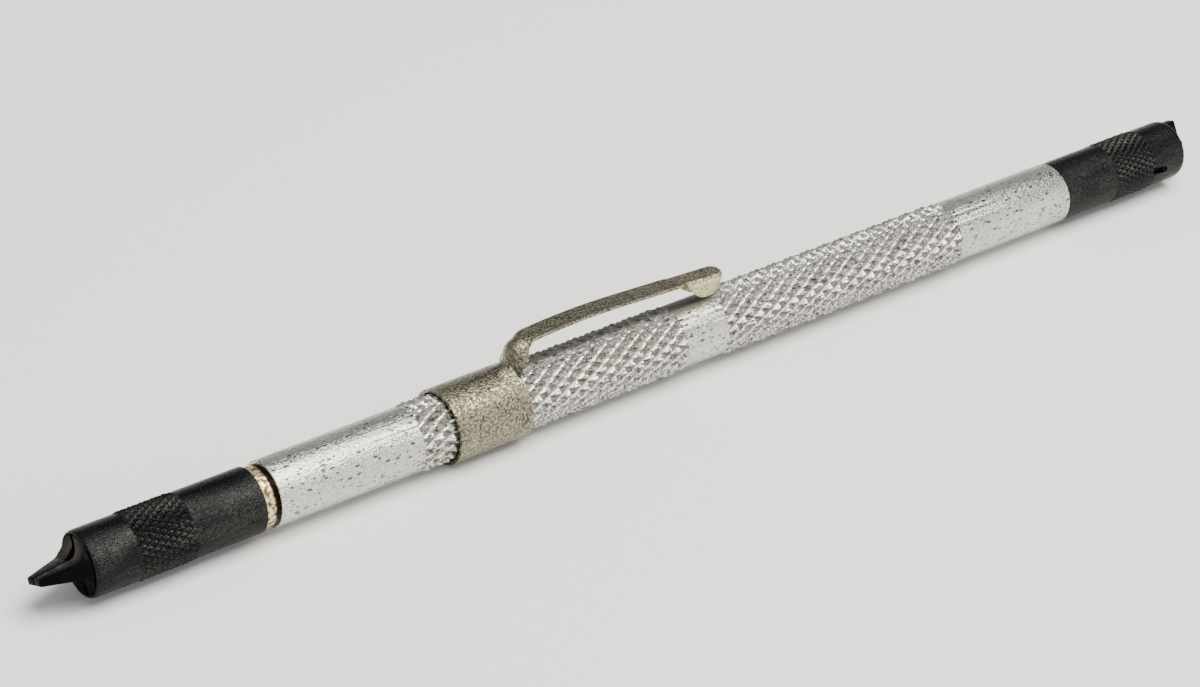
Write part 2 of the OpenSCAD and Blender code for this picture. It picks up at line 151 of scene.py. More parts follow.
class ScrewStarterSleeves(bpy.types.PropertyGroup):
    """Sizes that both sleeves share"""
    outer_d: length("Diameter", "Outer diameter of a sleeve", 7.8)
    crest_d: length("Crest diameter", "Diameter over the fine knurl", 8.06)
    groove_d: length("Groove diameter", "Diameter at the bottom of the fine knurl", 7.62)
    bore_d: length("Bore", "Bore of a sleeve", 7.0)
    skirt_d: length("Skirt bore", "Bore of the skirt over the neck", 7.4)
    skirt_depth: length("Skirt depth", "Depth of the skirt's bore", 2.05)
    grip_len: length("Knurl length", "Length of the fine knurl", 7.1)
    nose_len: length("Nose length", "Plain nose in front of the fine knurl", 5.5)
    nose_drop: length("Nose drop", "How far the rounded nose falls towards the mouth", 0.25)
    nose_round: length("Nose round", "Length of the rounded nose", 0.8)
    lip: length("Lip", "Chamfers of the mouth and of the rear edge", 0.1)
    slot_w: length("Slot width", "Width of the slot that a cam pin runs in", 0.89)
    slot_len: length("Slot travel", "How far a cam pin runs along the sleeve", 1.75)
    slot_back: length("Slot place", "Distance of a cam slot from the front", 3.8)
    teeth: count("Teeth", "Fine knurl grooves round the sleeve, each way", 30)
    pitches: count("Diamonds", "Diamonds along the fine knurl", 5)


class ScrewStarterFinishes(bpy.types.PropertyGroup):
    """Colours of the metals, their wear and the floor"""
    aluminium: colour("Aluminium", "Turned aluminium of the barrel", "DAD9D0")
    grime: colour("Grime", "Dirt in the grooves of the coarse knurl", "3B342B")
    nickel: colour("Nickel", "Aged nickel plate of the clip", "BBB497")
    tarnish: colour("Tarnish", "Dull patches on the clip", "48443A")
    black_oxide: colour("Black oxide", "Black finish of the sleeves", "131416")
    worn_oxide: colour("Worn oxide", "Rubbed black finish", "63655F")
    brass: colour("Brass", "Clean brass of the neck bushes", "F2DDB0")
    rust: colour("Rust", "Rust on the bushes and the tips", "55331A")
    blued: colour("Blued steel", "Steel of the half tips", "121213")
    bright: colour("Bright steel", "Pins, rods and rings", "A9A8A4")
    floor: colour("Floor", "Pale floor", "FAFAF8")


class ScrewStarterSettings(bpy.types.PropertyGroup):
    """Everything that can be set"""
    barrel: bpy.props.PointerProperty(type=ScrewStarterBarrel)
    clip: bpy.props.PointerProperty(type=ScrewStarterClip)
    sleeves: bpy.props.PointerProperty(type=ScrewStarterSleeves)
    finishes: bpy.props.PointerProperty(type=ScrewStarterFinishes)


def settings():
    """The scene's own copy of every size and colour."""
    return bpy.context.scene.screw_starter


# Surfaces

def lathe_points(stations, radii):
    """Points of a surface turned round the long axis: row i stands at stations[i], and its radius in
    column j is radii[i, j]. Column angles run from the clip's side towards the near side."""
    turn = np.linspace(0, 2 * np.pi, radii.shape[1], endpoint=False)
    x = np.repeat(stations[:, None], radii.shape[1], axis=1)
    return np.stack([x, -radii * np.sin(turn), AXIS_Z + radii * np.cos(turn)], axis=-1)


def lathe_faces(rows, columns, cuts):
    """Triangles between neighbouring rows of a turned surface, outwards for stations that grow. A
    four-sided cell is cut from its first row's far corner where cuts is true, or else from its near
    one."""
    i, j = np.meshgrid(np.arange(rows - 1), np.arange(columns), indexing="ij")
    a = i * columns + j
    b = i * columns + (j + 1) % columns
    c = b + columns
    d = a + columns
    first = np.where(cuts[..., None], np.stack([a, b, d], -1), np.stack([a, b, c], -1))
    second = np.where(cuts[..., None], np.stack([b, c, d], -1), np.stack([a, c, d], -1))
    return np.concatenate([first.reshape(-1, 3), second.reshape(-1, 3)])


def plain_rows(columns, values, *pairs):
    """Rows of a turned surface from pairs of a station and one radius, as (stations, radii), with
    one more array for each of the values that all their points have."""
    stations, radii = np.array(pairs).T
    level = np.repeat(radii[:, None], columns, axis=1)
    return stations, level, *(np.full_like(level, value) for value in values)


def knurl_height(rows, columns, steps, flat, bottom=0.0, fade=0.1):
    """Height of a diamond knurl from 0 in its grooves to 1 on its crests, on a grid of steps cells a
    tooth, then how far the second family's grooves are, from 0 to 1, and the first family's flat
    bottoms, 1 in them and 0 from fade above them. Each of the two groove families is a triangle wave
    along its own diagonal of the grid, and the height is the lower of the two, worn off above flat."""
    i, j = np.meshgrid(np.arange(rows), np.arange(columns), indexing="ij")
    one = 1 - np.abs(((i + j) / steps) % 1 - 0.5) * 2
    other = 1 - np.abs(((j - i) / steps) % 1 - 0.5) * 2
    line = np.clip((bottom + fade - one) / fade, 0, 1)
    return np.minimum(np.minimum(np.maximum(one, bottom), other), flat), other, line


def knurl_cuts(rows, columns, steps):
    """True for the cells of a knurl that are cut along the first family's diagonal, so that the
    crests and grooves of both families run along edges."""
    i, j = np.meshgrid(np.arange(rows - 1), np.arange(columns), indexing="ij")
    return (j - i) % (steps // 2) != 0


def one_sheet(*grids):
    """Points and four-sided faces of several grids of points as one sheet. Grids that meet share
    points there, which merging joins."""
    pieces, faces, offset = [], [], 0
    for grid in grids:
        rows, columns = grid.shape[:2]
        i, j = np.meshgrid(np.arange(rows - 1), np.arange(columns - 1), indexing="ij")
        a = offset + i * columns + j
        faces.append(np.stack([a, a + columns, a + columns + 1, a + 1], -1).reshape(-1, 4))
        pieces.append(grid.reshape(-1, 3))
        offset += rows * columns
    return np.concatenate(pieces), np.concatenate(faces)


def shade(mesh, sharp):
    """Smooth shading but for edges sharper than that many degrees."""
    mesh.polygons.foreach_set("use_smooth", np.ones(len(mesh.polygons), bool))
    mesh.set_sharp_from_angle(angle=np.radians(sharp))


def mesh_object(name, points, faces, material, sharp=35.0, values=None):
    """A new object at the origin from arrays of points and faces, smooth but for its sharp edges.
    values holds named numbers of every point for the material to read."""
    mesh = bpy.data.meshes.new(name)
    mesh.from_pydata(points.reshape(-1, 3), [], faces)
    for key, value in (values or {}).items():
        layer = mesh.attributes.new(key, "FLOAT", "POINT")
        layer.data.foreach_set("value", value.ravel().astype(np.float32))
    mesh.materials.append(material)
    shade(mesh, sharp)
    mesh.update()
    obj = bpy.data.objects.new(name, mesh)
    bpy.context.scene.collection.objects.link(obj)
    return obj


def merge_doubles(obj, distance=1e-7):
    """Closes seams and poles by joining points that lie on each other."""
    work = bmesh.new()
    work.from_mesh(obj.data)
    bmesh.ops.remove_doubles(work, verts=work.verts, dist=distance)
    bmesh.ops.dissolve_degenerate(work, edges=work.edges, dist=distance)
    work.to_mesh(obj.data)
    work.free()


def face_outwards(mesh):
    """Turns all faces of a mesh to the same side, outwards where it is closed."""
    work = bmesh.new()
    work.from_mesh(mesh)
    bmesh.ops.recalc_face_normals(work, faces=work.faces)
    work.to_mesh(mesh)
    work.free()


def round_edges(obj, width, segments, least):
    """Adds a bevel to the edges that turn by more than that many degrees."""
    edges = obj.modifiers.new("Edges", "BEVEL")
    edges.width = width
    edges.segments = segments
    edges.limit_method = "ANGLE"
    edges.angle_limit = np.radians(least)


def apply_modifiers(obj, sharp):
    """Puts the result of the object's modifiers into its mesh."""
    graph = bpy.context.evaluated_depsgraph_get()
    mesh = bpy.data.meshes.new_from_object(obj.evaluated_get(graph))
    obj.modifiers.clear()
    obj.data = mesh
    shade(mesh, sharp)


def paint(obj, material):
    """Puts one material in every slot of an object."""
    if not obj.data.materials:
        obj.data.materials.append(material)
    for slot in obj.material_slots:
        slot.material = material


def declare(obj, body, node):
    """Says which body a piece rides on and which node it replaces, which it hides."""
    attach(obj, body)
    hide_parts(node)


# Materials

def feed(node, inputs):
    """Gives each named input of a node a number or a link. Where a whole node is given, the link
    comes from the first of its outputs that is in use."""
    for key, value in inputs.items():
        if isinstance(value, bpy.types.Node):
            value = next(socket for socket in value.outputs if socket.enabled)
        if isinstance(value, bpy.types.NodeSocket):
            node.id_data.links.new(value, node.inputs[key])
        else:
            node.inputs[key].default_value = value


def add(tree, kind, inputs=None, **values):
    """Adds a node, sets its own settings, and gives each named input a number or a link."""
    node = tree.nodes.new("ShaderNode" + kind)
    for key, value in values.items():
        setattr(node, key, value)
    feed(node, inputs or {})
    return node


def new_material(name):
    """An empty material with a metal shader, and the place on the part in millimetres from the
    barrel's axis, as (material, tree, shader, place)."""
    material = bpy.data.materials.new(name)
    material.use_nodes = True
    tree = material.node_tree
    shader = tree.nodes["Principled BSDF"]
    feed(shader, {"Metallic": 1.0})
    place = add(tree, "Mapping", {
        "Vector": add(tree, "TexCoord").outputs["Object"],
        "Location": (0, 0, -AXIS_Z / MM),
        "Scale": (1 / MM, 1 / MM, 1 / MM)})
    return material, tree, shader, place


def grain(tree, place, size, stretch=(1, 1, 1), low=0.3, high=0.7, detail=3.0):
    """Cloudy pattern with lumps of that size in millimetres, spread out to run from 0 to 1."""
    stretched = add(tree, "Mapping", {"Vector": place, "Scale": stretch})
    lumps = add(tree, "TexNoise", {"Vector": stretched, "Scale": 1 / size, "Detail": detail})
    return add(tree, "MapRange", {"Value": lumps, "From Min": low, "From Max": high})


def pits(tree, place, spacing, share, stretch=(1, 1, 1), edge=0.06, fill=0.32):
    """Scattered pits, 1 in a pit and 0 outside: cells of that spacing in millimetres, bent out of
    round by a noise, of which only the share given holds a pit round its middle. Each pit has its
    own size, up to fill of a cell."""
    bent = add(tree, "TexNoise", {"Vector": place, "Scale": 1.6 / spacing, "Detail": 2.0})
    moved = add(tree, "VectorMath", {
        0: bent.outputs["Color"], 1: (0.45 * spacing,) * 3, 2: place}, operation="MULTIPLY_ADD")
    stretched = add(tree, "Mapping", {"Vector": moved, "Scale": stretch})
    cells = add(tree, "TexVoronoi", {"Vector": stretched, "Scale": 1 / spacing})
    reach = add(tree, "MapRange", {
        "Value": cells.outputs["Color"], "From Min": 1 - share, "From Max": 0.85,
        "To Min": 0.0, "To Max": fill})
    inside = add(tree, "Math", {0: reach, 1: cells.outputs["Distance"]}, operation="SUBTRACT")
    return add(tree, "MapRange", {"Value": inside, "From Min": 0.0, "From Max": edge})


def ramp(tree, vector, way, start, stop, low=0.0, high=1.0):
    """Runs from low to high while the vector's measure along a direction goes from start to stop:
    their dot product, spread out and held at both ends."""
    along = add(tree, "VectorMath", {0: vector, 1: way}, operation="DOT_PRODUCT")
    return add(tree, "MapRange", {
        "Value": along, "From Min": start, "From Max": stop, "To Min": low, "To Max": high})


def near_barrel(tree, place, start, stop):
    """1 up to that many millimetres beyond either end of the barrel, falling to 0 at stop."""
    middle = (BARREL_START + BARREL_END) / 2 / MM
    half = (BARREL_END - BARREL_START) / 2 / MM
    x = add(tree, "SeparateXYZ", {"Vector": place}).outputs["X"]
    side = add(tree, "Math", {0: x, 1: middle}, operation="SUBTRACT")
    reach = add(tree, "Math", {0: side}, operation="ABSOLUTE")
    return add(tree, "MapRange", {
        "Value": reach, "From Min": half + start, "From Max": half + stop,
        "To Min": 1.0, "To Max": 0.0})


def joined(tree, operation, *masks):
    """Masks joined in order by an operation, such as their product. A mask that is given with two
    numbers is first spread out to run from the one to the other."""
    total = None
    for mask in masks:
        if isinstance(mask, tuple):
            mask = add(tree, "MapRange", dict(zip(("Value", "To Min", "To Max"), mask)))
        total = mask if total is None else add(
            tree, "Math", {0: total, 1: mask}, operation=operation)
    return total


def coats(tree, tone, *layers):
    """A colour with coats laid over it in order. Each is given as a mask, the most that it covers
    and its own colour, which is an sRGB hex code or is already linear."""
    for mask, cover, own in layers:
        over = linear(own) if isinstance(own, str) else own
        share = add(tree, "MapRange", {"Value": mask, "To Max": cover})
        tone = add(tree, "Mix", {0: share, 6: tone, 7: over}, data_type="RGBA")
    return tone


def relief(tree, shader, heights):
    """Bump from a list of (height, depth in millimetres), one laid over the other."""
    normal = None
    for height, depth in heights:
        links = {"Height": height, "Distance": abs(depth) * MM, "Strength": 1.0}
        if normal is not None:
            links["Normal"] = normal
        normal = add(tree, "Bump", links, invert=depth < 0)
    feed(shader, {"Normal": normal})


def turned_aluminium(finishes):
    """Turned and knurled aluminium bar, pale, handled for years: fine speckle, short dark pits and
    scratches, dirt left in the knurl's grooves, bright crests where hands rub it, painted shade under
    the clip's arm and painted highlight lines on one groove family's flat bottoms."""
    material, tree, shader, place = new_material("turned_aluminium")
    speckle = grain(tree, place, 0.2, (0.6, 1, 1), 0.34, 0.66)
    clouds = grain(tree, place, 2.6, (0.5, 1, 1), 0.35, 0.65)
    streaks = grain(tree, place, 0.3, (0.1, 1, 1), 0.35, 0.65)
    marks = pits(tree, place, 0.45, 0.8, (0.45, 1.1, 1.1), 0.05, 0.4)
    dots = pits(tree, place, 0.25, 0.7, (0.8, 1, 1), 0.06, 0.4)
    crest, line = (add(tree, "Attribute", attribute_name=name).outputs["Fac"]
                   for name in ("crest", "line"))
    groove = add(tree, "MapRange", {
        "Value": crest, "From Min": 0.05, "From Max": 0.7, "To Min": 1.0, "To Max": 0.0})
    # Only the knurl has values below 1, so that this is 0 on the plain stretches
    knurled = add(tree, "MapRange", {
        "Value": crest, "From Min": 0.9, "From Max": 1.0, "To Min": 1.0, "To Max": 0.0})

    # Painted shade and a painted reflection of the clip's arm darken the bar's far side under it, up
    # to the wings.
    # The direction's length is about 1 over the grip's radius, so the grip reaches to 1 along it
    below_arm = (0, 0.101, 0.217)
    under = joined(tree, "MULTIPLY",
                   ramp(tree, place, below_arm, 0.68, 0.87),
                   ramp(tree, place, ALONG, 6.5, 9.5, 1.0, 0.15),
                   ramp(tree, place, ALONG, -36.0, -32.0))
    dirt = joined(tree, "MULTIPLY", groove,
                  (grain(tree, place, 0.45, (0.7, 1, 1), 0.44, 0.6), 0.1, 1.0))
    # The flanks are mottled, and the flat bottoms of one groove family get a near-white coat and no
    # dirt: a painted highlight
    mottled = joined(tree, "MULTIPLY", grain(tree, place, 0.26, (1, 1, 1), 0.46, 0.58),
                     (knurled, 0.0, 0.9))
    dirt = joined(tree, "MAXIMUM", dirt, mottled)
    dirt = joined(tree, "MULTIPLY", dirt, (line, 1.0, 0.0))
    # Under the arm the painted shade is lighter on the knurl's crests, and on the plain band it is
    # nearly full
    least = add(tree, "MapRange", {"Value": knurled, "To Min": 0.92, "To Max": 0.76})
    shade_under_arm = joined(tree, "MULTIPLY", under, (groove, least, 1.0))
    # From here dirt also holds the painted shade under the arm
    dirt = joined(tree, "MAXIMUM", dirt, shade_under_arm)

    spots = joined(tree, "MAXIMUM", marks, (dots, 0.0, 0.55))
    # The grime's tone goes near black under the arm: painted shade
    shaded_grime_tone = coats(tree, finishes.grime, (under, 1.0, "221C15"))
    # The near-white coat on the flat groove bottoms is a painted highlight
    tone = coats(tree, finishes.aluminium, (clouds, 0.35, "B2B1A8"), (speckle, 0.6, "918F85"),
                 (line, 0.8, "F4F3EE"), (dirt, 1.0, shaded_grime_tone), (spots, 0.85, "34312A"))
    smooth = add(tree, "MapRange", {"Value": speckle, "To Min": 0.12, "To Max": 0.22})
    feed(shader, {
        "Base Color": tone,
        "Roughness": add(tree, "Math", {0: dirt, 1: 0.35, 2: smooth}, operation="MULTIPLY_ADD"),
        # Dirt isn't metal
        "Metallic": add(tree, "MapRange", {"Value": dirt, "To Min": 1.0, "To Max": 0.1})})
    # The knurl's flanks are pressed smooth and torn a little, and the turned grain shows on the
    # plain stretches
    turned = joined(tree, "MULTIPLY", speckle, (knurled, 1.0, 0.25))
    tears = joined(tree, "MULTIPLY", grain(tree, place, 0.6, (1, 1, 1), 0.38, 0.62), knurled)
    relief(tree, shader, [(turned, 0.03), (streaks, 0.012), (tears, 0.02), (spots, -0.05)])
    return material


def aged_nickel(finishes):
    """Nickel-plated sheet steel gone dull: warm grey plate, olive tarnish in mottled patches, fine
    dark pits where it rusts through, and at the arm's end painted shade on the tops and a paler
    painted highlight on the wings' sides."""
    material, tree, shader, place = new_material("aged_nickel_plate")
    mottle = grain(tree, place, 0.3, (1, 1, 1), 0.4, 0.6, 5.0)
    patches = grain(tree, place, 3.2, (0.6, 1, 1), 0.35, 0.65)
    rusty = pits(tree, place, 0.36, 0.7, (1, 1, 1), 0.06, 0.36)
    # At the arm's end tarnish lies only on faces that point up, as painted shade on the top; nearer
    # the collar it covers every side
    rubbed = ramp(tree, place, ALONG, -1.0, 2.0, 1.0, 0.05)
    wings = ramp(tree, place, ALONG, -1.0, 2.0)
    facing = add(tree, "NewGeometry").outputs["True Normal"]
    upward_shade = ramp(tree, facing, (0, 0, 1), 0.0, 0.8, rubbed, 1.0)
    tarnish = joined(tree, "MULTIPLY", (mottle, 0.42, 1.0), (patches, 0.82, 1.0), upward_shade)
    # The pale coat at the arm's end is a painted highlight on the wings' sides
    feed(shader, {
        "Base Color": coats(tree, finishes.nickel, (wings, 1.0, "E2D7B2"),
                            (tarnish, 1.0, finishes.tarnish), (rusty, 0.8, "2E2518")),
        "Roughness": add(tree, "MapRange", {"Value": mottle, "To Min": 0.22, "To Max": 0.36})})
    relief(tree, shader, [(mottle, 0.035), (rusty, -0.04)])
    return material


def black_oxide(finishes):
    """Steel with a black oxide finish, oiled and rubbed: near black, finely grained, a little
    lighter where it is worn and on the tips of the fine knurl."""
    material, tree, shader, place = new_material("black_oxide_steel")
    fine = grain(tree, place, 0.16, (0.8, 1, 1), 0.34, 0.66)
    clouds = grain(tree, place, 2.4, (0.35, 1, 1), 0.4, 0.62)
    chips = pits(tree, place, 0.5, 0.35)
    crest = add(tree, "Attribute", attribute_name="crest").outputs["Fac"]
    rubbed = add(tree, "MapRange", {
        "Value": crest, "From Min": 0.78, "From Max": 1.0, "To Min": 0.0, "To Max": 0.85})
    worn = joined(tree, "MULTIPLY", (fine, 0.0, 0.34), (clouds, 0.4, 1.0))
    worn = joined(tree, "MAXIMUM", worn, rubbed)
    feed(shader, {
        "Base Color": coats(tree, finishes.black_oxide, (worn, 1.0, finishes.worn_oxide),
                            (chips, 0.7, "0A0A0A")),
        "Roughness": add(tree, "MapRange", {"Value": fine, "To Min": 0.17, "To Max": 0.3}),
        "Specular Tint": DARK_FILM})
    relief(tree, shader, [(fine, 0.03), (chips, -0.04)])
    return material


def rusted_brass(finishes):
    """Turned brass bush, bright where the sleeve wipes it, with rust off the sleeve, and grime and
    painted shade darkening it towards the barrel."""
    material, tree, shader, place = new_material("rusted_brass")
    lumps = grain(tree, place, 0.5, (1, 1, 1), 0.42, 0.58, 4.0)
    fine = grain(tree, place, 0.15, (1, 1, 1), 0.3, 0.7)
    # Grime and painted shade fill the last part of the neck before the barrel's end
    grime_and_shade = near_barrel(tree, place, 0.5, 0.8)
    feed(shader, {
        "Base Color": coats(tree, finishes.brass, (lumps, 0.9, finishes.rust),
                            (grime_and_shade, 1.0, "1E130C")),
        "Roughness": add(tree, "MapRange", {"Value": lumps, "To Min": 0.28, "To Max": 0.6})})
    relief(tree, shader, [(lumps, 0.03), (fine, 0.01)])
    return material


def blued_steel(finishes):
    """Hardened and blued steel, near black, browned by rust round the slotted blade's root on its lit
    faces only, the lower and narrow faces kept black as painted shade, with grinding lines along it
    that are drawn as coarse as they need to show."""
    material, tree, shader, place = new_material("blued_steel")
    patches = grain(tree, place, 0.5, (1, 1, 1), 0.4, 0.6, 6.0)
    lines = grain(tree, place, 0.12, (0.2, 1, 1), 0.3, 0.7)
    # Rust starts at the sleeve's mouth and thins towards the blade's tip
    root = near_barrel(tree, place, 23.6, 26.6)
    # It is on the top half of the slotted end only, and not on the blade's narrow sides: the lower
    # half and the narrow sides stay black as painted shade
    lit_top_half = ramp(tree, place, (0, 0.45, 0.89), 0.0, 0.45)
    x = add(tree, "SeparateXYZ", {"Vector": place}).outputs["X"]
    slotted = add(tree, "Math", {0: x, 1: 0.0}, operation="LESS_THAN")
    lit_broad_faces = ramp(tree, add(tree, "NewGeometry").outputs["Normal"], BLADE_WIDTH, 0.35, 0.6, 1.0, 0.0)
    # Most of it is round the relief hole, and little out on the body's shoulder
    flat = add(tree, "VectorMath", {0: place, 1: (0, 1, 1)}, operation="MULTIPLY")
    inner = add(tree, "MapRange", {
        "Value": add(tree, "VectorMath", {0: flat}, operation="LENGTH"),
        "From Min": 2.1, "From Max": 3.0, "To Min": 1.0, "To Max": 0.2})
    rusty = joined(tree, "MULTIPLY", root, (patches, 0.25, 1.0), lit_top_half, slotted, lit_broad_faces, inner)
    feed(shader, {
        "Base Color": coats(tree, finishes.blued, (rusty, 1.0, "574A41")),
        "Roughness": add(tree, "MapRange", {"Value": patches, "To Min": 0.38, "To Max": 0.6}),
        "Specular Tint": DARK_FILM})
    relief(tree, shader, [(patches, 0.02), (lines, 0.012)])
    return material


def bright_steel(finishes):
    """Ground bright steel of rods, rings and washers, a little stained. The grinding marks are
    drawn as coarse as they need to show."""
    material, tree, shader, place = new_material("ground_bright_steel")
    lines = grain(tree, place, 0.1, (1, 1, 0.3), 0.3, 0.7)
    stain = grain(tree, place, 0.8, (1, 1, 1), 0.45, 0.7)
    feed(shader, {
        "Base Color": coats(tree, finishes.bright, (stain, 0.6, "5F5A50")),
        "Roughness": add(tree, "MapRange", {"Value": lines, "To Min": 0.22, "To Max": 0.36})})
    relief(tree, shader, [(lines, 0.008)])
    return material


def pale_floor(finishes):
    """Matt pale card under the part, with the faintest grain."""
    material, tree, shader, place = new_material("pale_card")
    fibre = grain(tree, place, 1.5, (1, 1, 1), 0.3, 0.7)
    feed(shader, {
        "Base Color": coats(tree, finishes.floor, (fibre, 0.15, "F6F6F4")),
        "Metallic": 0.0, "Roughness": 0.85, "Specular IOR Level": 0.2})
    return material


# Operators

class SCREWSTARTER_OT_barrel(bpy.types.Operator):
    """Builds the aluminium barrel with its two knurled grips"""
    bl_idname = "screw_starter.barrel"
    bl_label = "Barrel"
    bl_options = {"REGISTER", "UNDO"}

    # Grid cells a tooth, so that crests and grooves fall on its points
    steps = 12
    # Share of the knurl's height that wear has left, and where the clean grooves' bottom lies
    worn_to = 0.92
    bottom = 0.24

    def execute(self, context):
        size = settings().barrel
        columns = size.teeth * self.steps
        rows = size.pitches * self.steps + 1
        plain, crest_r = size.plain_d / 2, size.crest_d / 2
        groove_r, socket_r = size.groove_d / 2, size.socket_d / 2
        total = 2 * size.plain_len + 2 * size.grip_len + size.band_len
        first, second = size.plain_len, size.plain_len + size.grip_len + size.band_len
        deep = size.socket_depth
        # Values of crest and of the flat bottoms' painted highlight on the plain stretches
        level = (1, 0)

        def grip(start):
            """Knurled rows, with the first and last one on the plain bar so that the knurl runs out,
            as (stations, radii, crest, line)."""
            s = start + np.linspace(0, size.grip_len, rows)
            h, crest, line = knurl_height(rows, columns, self.steps, self.worn_to, self.bottom)
            r = groove_r + (crest_r - groove_r) * h / self.worn_to
            r[[0, -1]] = plain
            crest[[0, -1]], line[[0, -1]] = level
            return s, r, crest, line

        # A quarter round at each end, from the face to the plain bar
        turn = np.linspace(0, np.pi / 2, 7)
        edge = list(zip(size.edge * (1 - np.sin(turn)), plain - size.edge * (1 - np.cos(turn))))
        parts = [
            plain_rows(columns, level, (deep, SAME), (deep, socket_r), (0, socket_r),
                       *edge[::-1], (first / 2, plain)),
            grip(first),
            plain_rows(columns, level, (first + size.grip_len + size.band_len / 2, plain)),
            grip(second),
            plain_rows(columns, level, (total - first / 2, plain),
                       *((total - s, r) for s, r in edge), (total, socket_r),
                       (total - deep, socket_r), (total - deep, SAME)),
        ]
        stations, radii, crest, line = map(np.concatenate, zip(*parts))
        cuts = np.zeros((len(stations) - 1, columns), bool)
        for at in (len(parts[0][0]), len(parts[0][0]) + rows + 1):
            cuts[at:at + rows - 1] = knurl_cuts(rows, columns, self.steps)
        points = lathe_points(BARREL_START + stations, radii)
        faces = lathe_faces(len(stations), columns, cuts)
        obj = mesh_object("barrel_knurled", points, faces,
                          turned_aluminium(settings().finishes), TURNED_SHARP,
                          {"crest": crest, "line": line})
        merge_doubles(obj, 2 * SAME)
        shade(obj.data, TURNED_SHARP)
        declare(obj, "barrel_body", "barrel")
        return {"FINISHED"}


